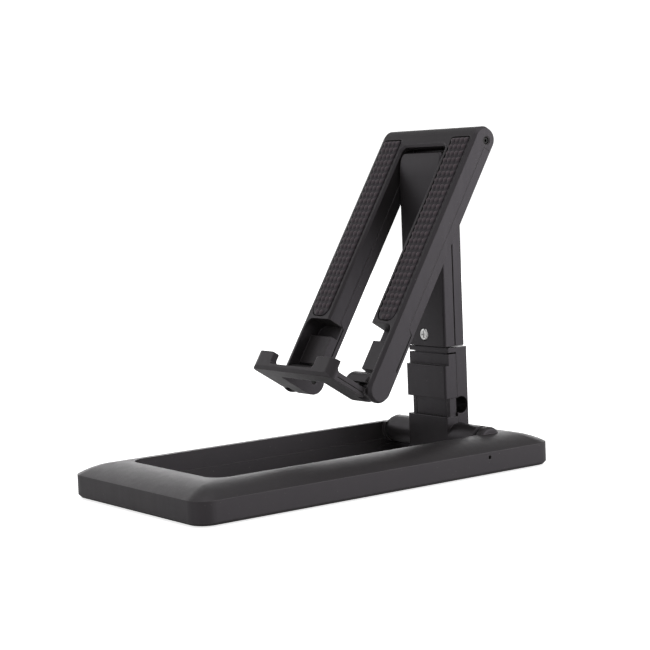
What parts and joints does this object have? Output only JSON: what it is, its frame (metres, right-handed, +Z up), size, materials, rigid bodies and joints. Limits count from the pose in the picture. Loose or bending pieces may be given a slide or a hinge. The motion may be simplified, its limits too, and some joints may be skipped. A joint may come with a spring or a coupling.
{
  "type": "phone stand",
  "caption": "Folding desk stand for a phone: ring-shaped base, upright arm, tilting U-shaped cradle with rubber pads and a fold-out lip.",
  "frame": {"origin": "centre of the base's outline, on the table under the rubber feet", "axes": "+Z up, -Y towards the user (the lip's side), +Y towards the arm's hinge, +X to the user's right; all hinges run along X"},
  "size_m": [0.0796, 0.15, 0.1204],
  "materials": {
    "black_plastic": "fine matte texture",
    "pad_rubber": "matte, moulded bumps",
    "foot_rubber": "matte",
    "washer_plastic": "matte",
    "pin_steel": "ground",
    "screw_steel": "dark zinc",
    "bright_screw": "bright plated"
  },
  "bodies": {
    "base": {"base_shell": "black_plastic", "base_tray": "black_plastic", "rubber_feet": "foot_rubber", "base_screws": "screw_steel", "base_pin": "pin_steel", "friction_washers": "washer_plastic"},
    "arm": {"arm_root": "black_plastic", "arm_bar": "black_plastic", "arm_collar": "black_plastic", "arm_cover": "black_plastic", "arm_cover_screws": "screw_steel", "arm_front": "black_plastic", "arm_rear": "black_plastic", "arm_screw": "bright_screw"},
    "cradle": {"cradle_frame": "black_plastic", "back_cover_left": "black_plastic", "back_cover_right": "black_plastic", "back_cover_screws": "screw_steel", "grip_pad_left": "pad_rubber", "grip_pad_right": "pad_rubber", "cradle_pin": "pin_steel", "cradle_bushes": "washer_plastic", "lip_pins": "pin_steel"},
    "lip": {"lip": "black_plastic"}
  },
  "joints": [
    {"name": "base_fold", "type": "hinge", "parent": "base", "child": "arm", "pos_m": [0, 0.056, 0.0094], "axis": [1, 0, 0], "range_deg": [-6, 90]},
    {"name": "cradle_tilt", "type": "hinge", "parent": "arm", "child": "cradle", "pos_m": [0, 0.0602, 0.1153], "axis": [1, 0, 0], "range_deg": [-55, 26.8]},
    {"name": "lip_fold", "type": "hinge", "parent": "cradle", "child": "lip", "pos_m": [0, 0.00876, 0.03283], "axis": [-1, 0, 0], "range_deg": [0, 90]}
  ]
}
